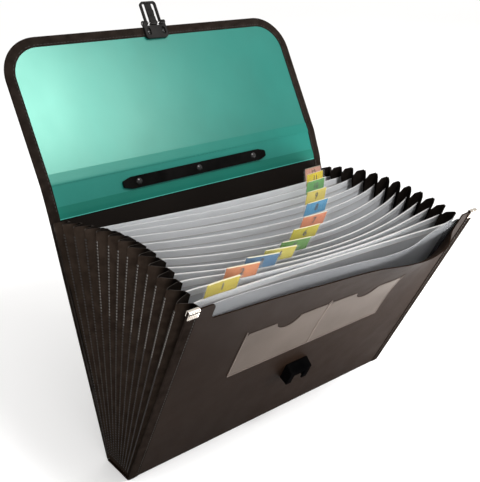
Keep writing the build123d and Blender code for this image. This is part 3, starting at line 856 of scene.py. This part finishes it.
def make_flap_binding():
    def spots(x, z, ix, iz):
        return lambda inward, y: flap.at(x + ix * inward, y, z + iz * inward)

    path = flap_path()
    shape = Shape().sweep([tape_ring(spots(*step), -LINING, COVER) for step in path])
    inset = TAPE_WIDTH - STITCH_INSET
    line = [(x + ix * inset, z + iz * inset) for x, z, ix, iz in path]
    for y, outward in ((-LINING - TAPE, -flap.back), (COVER + TAPE, flap.back)):
        carry = 0.0
        for (x0, z0), (x1, z1) in zip(line, line[1:]):
            length = math.hypot(x1 - x0, z1 - z0)
            place = carry
            while place + STITCH_LENGTH < length:
                a, b = place / length, (place + STITCH_LENGTH) / length
                shape.stitch(flap.at(x0 + (x1 - x0) * a, y, z0 + (z1 - z0) * a),
                             flap.at(x0 + (x1 - x0) * b, y, z0 + (z1 - z0) * b), outward, STITCH_WIDTH, 1)
                place += STITCH_PITCH
            carry = max(0.0, place - length)
    piece("flap_binding_tape", shape, [WOVEN_TAPE, DARK_THREAD], "flap", ["flap_binding"])


# Folds of the flap
def make_fold_band(name, fold, reach, faces, finishes, pale=0.0):
    """A strip of sheet across a fold, shaped round it; pale is the height of its bright lower edge."""
    low, high, z_fold, bodies = fold
    xs = spread(-BAND_HALF, BAND_HALF, 16)
    bottom = z_fold - reach[0]
    lows = spread(bottom + pale, z_fold - BAND_GAP, 6)
    if pale:
        lows.insert(0, bottom)
    steps = [(low, z) for z in lows] + [(high, z) for z in spread(BAND_GAP, reach[1], 6)]
    near, far = [[[panel.at(x, y, z) for x in xs] for panel, z in steps] for y in faces]
    shape = Shape()
    if pale:
        shape.slab(near[:2], far[:2], 1)
        shape.slab(near[1:], far[1:])
    else:
        shape.slab(near, far)
    made = piece(name, shape, finishes, None)
    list(bodies)
    low.at(0, 0, z_fold - 3) * MM
    high.at(0, 0, 3) * MM
    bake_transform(made)


# Dividers
def divider_slab(shape, sheet, xs, zs, near, far, *finishes):
    grids = [[[soft_at(sheet, x, y, z) for x in xs] for z in zs] for y in (near, far)]
    shape.slab(*grids, *finishes)


def make_divider(sheet):
    near, far = -DIVIDER / 2, DIVIDER / 2
    shape = Shape()
    xs, zs = spread(-DIVIDER_HALF, DIVIDER_HALF, 54), spread(HINGE_GAP, DIVIDER_HEIGHT, 26)
    divider_slab(shape, sheet, xs, zs, near, far, 0, 1)
    xs = spread(-HEM_HALF, HEM_HALF, 50)
    low, face = DIVIDER_HEIGHT - HEM_HEIGHT, near - HEM_THICKNESS
    divider_slab(shape, sheet, xs, [low + WELD_LOW, low + WELD_HIGH], face - WELD_PROUD, face, 1)
    divider_slab(shape, sheet, xs, spread(low, DIVIDER_HEIGHT, 5), face, near - HEM_CLEAR, 2, 1)
    # Face, edge and hem finishes; the face's darker finish is partly painted shade
    piece(f"divider_sheet_{sheet:02d}", shape, [FROSTED, FROSTED_EDGE, FROSTED_HEM], fan_body(sheet),
          [f"divider_{sheet:02d}"], keep=SHEET_KEEP, sheet=sheet)


def number_mesh(text):
    """Figures with a slight depth, as points and faces."""
    curve = bpy.data.curves.new("figures", "FONT")
    curve.body = text
    curve.size = FIGURE_SIZE
    curve.align_x = "CENTER"
    curve.align_y = "CENTER"
    curve.resolution_u = 3
    curve.extrude = FIGURE_DEPTH
    curve.offset = FIGURE_WEIGHT
    holder = bpy.data.objects.new("figures", curve)
    bpy.context.scene.collection.objects.link(holder)
    mesh = bpy.data.meshes.new_from_object(holder)
    points = [v.co.copy() for v in mesh.vertices]
    faces = [tuple(p.vertices) for p in mesh.polygons]
    bpy.data.objects.remove(holder)
    bpy.data.meshes.remove(mesh)
    bpy.data.curves.remove(curve)
    return points, faces


def holder_film(film, low, top):
    """One face of a holder as (y, z) points, from its lower edge over the card and down again."""
    over = [(y, top - drop) for y, drop in film]
    return [(over[0][0], low)] + over + [(over[-1][0], low)]


def make_tab(sheet):
    x = TAB_SPREAD / (POCKETS - 2) * (sheet - 1) - TAB_SPREAD / 2
    top = DIVIDER_HEIGHT + TAB_RISE
    slot, colour = TABS[sheet - 1]
    shape = Shape()
    divider_slab(shape, sheet, spread(x - TAB_CARD / 2, x + TAB_CARD / 2, 10),
                 spread(DIVIDER_HEIGHT + TAB_CARD_LOW, top - TAB_CARD_BELOW, 5), TAB_CARD_FACE, 0.0)
    points, faces = number_mesh(str(sheet))
    middle = DIVIDER_HEIGHT + TAB_RISE / 2
    shape.add([soft_at(sheet, x + p.x, FIGURE_FACE - p.z, middle + p.y) for p in points], faces, 1)
    piece(f"tab_card_{sheet:02d}", shape, [card(f"tab_card_{sheet:02d}", colour), TAB_INK], fan_body(sheet),
          [f"index_tab_{sheet:02d}"], keep=SHEET_KEEP, sheet=sheet)
    # Clear holder, folded over the card and gripping the divider
    low = DIVIDER_HEIGHT - TAB_GRIP
    ring = holder_film(HOLDER_OUTSIDE, low, top) + holder_film(HOLDER_INSIDE, low, top)
    places = spread(x - TAB_WIDTH / 2, x + TAB_WIDTH / 2, 13)
    shape = Shape().sweep([[soft_at(sheet, place, y, z) for y, z in ring] for place in places])
    sides = len(ring)
    # The fold's faces take the painted highlight
    shape.paint(1, lambda i: i % sides in HOLDER_FOLD and 0 < i // sides < len(places) - 1)
    piece(f"tab_holder_{sheet:02d}", shape, [HOLDER_FILM, HOLDER_FOLD_HIGHLIGHT], fan_body(sheet),
          [f"index_tab_{sheet:02d}"], keep=SHEET_KEEP, sheet=sheet)


# Pleated gussets
def pleat_pitch(z):
    return BASE_DEPTH / POCKETS + z * math.radians(FRONT_LEAN + BACK_LEAN) / POCKETS


def pleat_point(side, sheet, share, z, surface):
    """A point of the fabric beside a sheet: share runs from one crease (-0.5) over the ridge (0) to the next."""
    room = PLEAT_ROOM / pleat_pitch(z)
    crease = sheet if share > 0 else sheet - 1
    wander = math.sin(PLEAT_WANDER[0] * crease + PLEAT_WANDER[1] * side)
    uneven = PLEAT_UNEVEN * wander * (2 * share) ** 2 * (1 - rise_share(z))
    place = min(max(sheet + share + uneven, room), POCKETS - room)
    blunt = PLEAT_BLUNT ** 2
    depth = PLEAT_DEPTH * (math.sqrt((2 * share) ** 2 + blunt) - PLEAT_BLUNT) / (math.sqrt(1 + blunt) - PLEAT_BLUNT)
    half_pitch = pleat_pitch(z) / 2
    shift = surface * GUSSET_THICKNESS / 2 * math.hypot(PLEAT_DEPTH, half_pitch) / half_pitch
    puff = PLEAT_PUFF * math.sin(math.pi * min(1.0, abs(2 * share))) * rise_share(z)
    x = side * (HALF_WIDTH - SEAM_INSET - depth + shift + puff)
    return fan_panel(place).at(x, -sheet_forward(place, x, z), z + sheet_rise(place, side * HALF_WIDTH, z))


def pleat_top(share):
    """The top edge, with clipped corners beside the creases and the ridge."""
    reach = abs(share)
    crease_clip = PLEAT_CLIP * max(0.0, (reach - CLIP_SHARE) / (0.5 - CLIP_SHARE))
    return GUSSET_TOP - crease_clip - RIDGE_CLIP * max(0.0, 1 - reach / RIDGE_SHARE)


def make_seam(name, side, sheet):
    """Two rows of stitches through a ridge, pale only where the photograph shows them."""
    seam = Shape()
    for share in (-SEAM_SHARE, SEAM_SHARE):
        z = SEAM_FOOT
        while z < DIVIDER_HEIGHT + SEAM_PAST:
            a, b = (pleat_point(side, sheet, share, height, SEAM_PROUD) for height in (z, z + SEAM_LENGTH))
            # Low down, on the rear sheets and on the far row the threads take the dark thread: painted shade
            pale = z > PALE_SEAM and sheet < PALE_SHEETS and share < 0
            seam.stitch(a, b, Vector((side, 0, 0)), SEAM_WIDTH, 0 if pale else 1)
            z += SEAM_PITCH
    return piece(name, seam, [SEAM_THREAD, DARK_THREAD], fan_body(sheet),
                 keep=PLEAT_KEEP, sheet=sheet)


def make_pleat(name, side, sheet):
    """The fabric on both sides of one sheet's seam, from crease to crease, and its stitches."""
    before = [-s for s in reversed(PLEAT_SHARES)] if sheet > 0 else []
    after = list(PLEAT_SHARES) if sheet < POCKETS else []
    shares = before + [0.0] + after

    def grid(surface):
        return [[pleat_point(side, sheet, s, GUSSET_FOOT + (pleat_top(s) - GUSSET_FOOT) * t, surface)
                 for s in shares] for t in spread(0, 1, 30)]

    number = f"{name}_{sheet:02d}"
    # The far face takes the darker inner cloth, partly painted shade inside the bellows
    made = piece(f"pleat_{number}", Shape().slab(grid(1), grid(-1), rim=2, back=1),
                 [PLEAT_CLOTH, PLEAT_INSIDE, PLEAT_EDGE], fan_body(sheet), [f"{name}_gusset"],
                 sharp=50, keep=PLEAT_KEEP, sheet=sheet)
    sewn = 0 < sheet < POCKETS
    with_pieces = [make_seam(f"pleat_stitches_{number}", side, sheet)] if sewn else []


# Metal end clips on the front's top corners
def make_corner_clip(name, side):
    middle = side * (HALF_WIDTH - CLIP_INSET - CLIP_WIDTH / 2)
    top = FRONT_HEIGHT + CLIP_PROUD
    low = top - CLIP_HEIGHT
    face, rear = -COVER - TAPE - CLIP_CLEAR, TAPE + CLIP_CLEAR
    shell, rear_shell = face - CLIP_THICKNESS, rear + CLIP_THICKNESS
    groove, under = shell + GROOVE_DEPTH, top - CLIP_THICKNESS
    rings = []
    for x in spread(-CLIP_WIDTH / 2, CLIP_WIDTH / 2, 61):
        wave = max(0.0, math.sin((x / CLIP_WIDTH + 0.5) * 2 * math.pi * CLIP_RIBS - math.pi / 4))
        rib = shell - (RIB_HEIGHT * wave if abs(x) < RIB_REACH else 0.0)
        outside = [(shell, low), (rib, low + 0.5), (rib, low + 4.9), (groove, low + 5.1), (groove, low + 6.2),
                   (shell, low + 6.4), (shell, top - 0.3), (face, top), (rear, top),
                   (rear_shell, top - 0.5), (rear_shell, low + 2)]
        inside = [(rear, low + 2), (rear, under), (face, under), (face, low)]
        rings.append([front.at(middle + x, y, z) for y, z in outside + inside])
    shape = Shape().sweep(rings)
    sides = len(rings[0])
    # The groove's faces take the dark finish: painted shade in the groove
    shape.paint(1, lambda i: i % sides in CLIP_GROOVE)
    for number in range(BEADS):
        x = middle - CLIP_WIDTH / 2 + CLIP_WIDTH * (number + 0.5) / BEADS
        shape.lathe(front.at(x, shell - 0.1, top - 0.7), front.up, ACROSS, BEAD, 10)
    piece(f"corner_clip_ribbed_{name}", shape, [CLIP_METAL, RIVET_PAINT_AND_GROOVE_SHADE], "front",
          [f"corner_clip_{name}"], sharp=60)


# Clasp: a rounded loop and its stepped tongue on three knuckles
def make_clasp():
    y, z = -LINING - TAPE - BUCKLE_THICKNESS / 2, FLAP_HEIGHT + KNUCKLE_GAP
    near = BUCKLE_THICKNESS / 2
    bend, inner = z + CLASP_LENGTH - CLASP_ROUND, CLASP_ROUND - CLASP_LEG
    spots = [(-CLASP_HALF, z, CLASP_LEG - CLASP_HALF, z)]
    for side, start in ((-1, 180), (1, 90)):
        x = side * (CLASP_HALF - CLASP_ROUND)
        for angle in spread(start, start - 90, 7):
            across, up = math.cos(math.radians(angle)), math.sin(math.radians(angle))
            spots.append((x + across * CLASP_ROUND, bend + up * CLASP_ROUND, x + across * inner, bend + up * inner))
    spots.append((CLASP_HALF, z, CLASP_HALF - CLASP_LEG, z))
    shape = Shape()
    shape.sweep([[flap.at(ox, y - near, oz), flap.at(ox, y + near, oz), flap.at(ix, y + near, iz),
                  flap.at(ix, y - near, iz)] for ox, oz, ix, iz in spots])
    half = CLASP_TONGUE / 2
    shape.sweep([[flap.at(-half, y - face, z + rise), flap.at(half, y - face, z + rise),
                  flap.at(half, y + TONGUE_BACK, z + rise), flap.at(-half, y + TONGUE_BACK, z + rise)]
                 for rise, face in TONGUE])
    for low, high in ((-CLASP_HALF, CLASP_LEG - CLASP_HALF), (-half, half), (CLASP_HALF - CLASP_LEG, CLASP_HALF)):
        shape.lathe(flap.at(0, y, z), ACROSS, flap.up, [(KNUCKLE_RADIUS, low), (KNUCKLE_RADIUS, high)])
    soften(piece("clasp_loop_rounded", shape, [BUCKLE_MOULDING], "clasp", ["clasp_loop"]), 0.3)


# Rivets with a domed head at each end
def make_rivets(name, panel, places, y_front, y_back, radius, rim, body, node):
    wide = radius + rim
    dome = [DOME_POLE, *((wide * share, place) for share, place in DOME_SHARES), (radius, 0.0)]
    profile = dome + [(r, y_back - y_front - place) for r, place in reversed(dome)]
    shape = Shape()
    for x, z in places:
        shape.lathe(panel.at(x, y_front, z), panel.back, ACROSS, profile)
    piece(name, shape, [RIVET_PAINT_AND_GROOVE_SHADE], body, [node], sharp=50)


make_front_cover()
make_front_leaf()
for name, side in (("left", -1), ("right", 1)):
    make_card_pocket(name, side)
    make_corner_clip(name, side)
    make_edge_tape(name, front, side, HINGE_GAP, FRONT_HEIGHT, -COVER, 0, "front")
    make_edge_tape(name, back, side, HINGE_GAP, BACK_HEIGHT - FOLD_GAP, 0, COVER, "back")
    make_edge_tape(name, spine, side, FOLD_GAP, SPINE_HEIGHT - FOLD_GAP, -LINING, COVER, "spine")
    make_fold_tape(f"fold_tape_lower_{name}", LOWER_FOLD, side)
    make_fold_tape(f"fold_tape_upper_{name}", UPPER_FOLD, side)
    for sheet in range(POCKETS + 1):
        make_pleat(name, side, sheet)
make_flap_binding()
lining_faces = (-LINING - 0.35, -LINING - 0.05)
cover_faces = (COVER + 0.05, COVER + 0.4)
make_fold_band("lining_fold_lower", LOWER_FOLD, (5.0, 6.5), lining_faces, [TEAL_FOLD, TEAL_EDGE],
               pale=0.8)
make_fold_band("lining_fold_upper", UPPER_FOLD, (1.2, 9.5), lining_faces, [TEAL_BAND])
# The cover's fold bands take the darker back grain, painted shade
make_fold_band("cover_fold_lower", LOWER_FOLD, (6.0, 6.0), cover_faces, [BACK_SHADED_GRAIN])
make_fold_band("cover_fold_upper", UPPER_FOLD, (6.0, 6.0), cover_faces, [BACK_SHADED_GRAIN])
for sheet in range(1, POCKETS):
    make_divider(sheet)
    make_tab(sheet)
make_clasp()
make_rivets("handle_rivet_heads", spine, [(x, SPINE_HEIGHT / 2) for x in (-HANDLE_RIVET, 0, HANDLE_RIVET)],
            -LINING - HANDLE_PLATE, COVER + HANDLE_PLATE, 1.8, 1.4, "spine", "handle_rivets")
make_rivets("buckle_rivet_heads", flap,
            [(x, FLAP_HEIGHT - BUCKLE_RIVET_BELOW) for x in (-BUCKLE_RIVET, BUCKLE_RIVET)],
            -LINING - TAPE - BUCKLE_THICKNESS + BUCKLE_SEAT, COVER + TAPE, 1.2, 0.8, "flap", "buckle_rivets")

# Floor, light and camera, in metres
FLOOR_HALF = 6
floor_finish = Finish("floor", roughness=0.9, specular=0.1)
floor_finish.colour((0.95, 0.95, 0.95), (0.97, 0.97, 0.97), scale=0.8, detail=2.0)
floor_mesh = bpy.data.meshes.new("floor")
floor_mesh.from_pydata([(x * FLOOR_HALF, y * FLOOR_HALF, 0) for x, y in ((-1, -1), (1, -1), (1, 1), (-1, 1))],
                       [], [(0, 1, 2, 3)])
floor_mesh.materials.append(floor_finish.material)
floor = bpy.data.objects.new("floor", floor_mesh)
bpy.context.scene.collection.objects.link(floor)

scene = bpy.context.scene
scene.view_settings.view_transform = "Standard"
world = bpy.data.worlds.new("studio")
world.use_nodes = True
world.node_tree.nodes["Background"].inputs["Color"].default_value = (1.0, 0.99, 0.98, 1)
world.node_tree.nodes["Background"].inputs["Strength"].default_value = 1.05
scene.world = world


def softbox(name, place, target, size, power, diffuse=True):
    """An area light; without diffuse it shows only in reflections."""
    light = bpy.data.lights.new(name, "AREA")
    light.shape = "RECTANGLE"
    light.size, light.size_y = size
    light.energy = power
    made = bpy.data.objects.new(name, light)
    made.location = place
    made.rotation_mode = "QUATERNION"
    made.rotation_quaternion = (Vector(target) - Vector(place)).to_track_quat("-Z", "Y")
    made.visible_camera = False
    made.visible_diffuse = diffuse
    scene.collection.objects.link(made)


softbox("key", (0.17, -0.57, 1.13), (-0.16, 0.17, 0.32), size=(0.28, 0.4), power=12)
softbox("sheen", (0.42, -0.62, 0.98), (-0.07, 0.12, 0.28), size=(0.34, 0.3), power=3.9, diffuse=False)
softbox("fill", (-0.85, -0.55, 0.4), (-0.15, 0, 0.15), size=(0.5, 0.5), power=2.3)
softbox("ground", (0.26, -0.31, 0.01), (0.26, -0.31, 1), size=(0.6, 0.36), power=6, diffuse=False)
softbox("low", (0.4, -0.32, 0.12), (0.1, -0.1, 0.19), size=(0.15, 0.15), power=4.2)

CAMERA_PLACE = (-0.4285, -0.4995, 0.4528)
CAMERA_AZIMUTH = math.radians(-39.14)
CAMERA_ELEVATION = math.radians(24.0)
FOCAL_PX = 747.4
IMAGE_PX = 482
CENTRE_BELOW_PX = 24.0
lens = bpy.data.cameras.new("camera")
lens.sensor_width = 36.0
lens.lens = FOCAL_PX / IMAGE_PX * lens.sensor_width
lens.shift_y = CENTRE_BELOW_PX / IMAGE_PX
lens.clip_start = 0.01
camera = bpy.data.objects.new("camera", lens)
camera.location = CAMERA_PLACE
level = math.cos(CAMERA_ELEVATION)
away = Vector((math.sin(CAMERA_AZIMUTH) * level, -math.cos(CAMERA_AZIMUTH) * level, math.sin(CAMERA_ELEVATION)))
camera.rotation_mode = "QUATERNION"
camera.rotation_quaternion = (-away).to_track_quat("-Z", "Y")
scene.collection.objects.link(camera)
scene.camera = camera
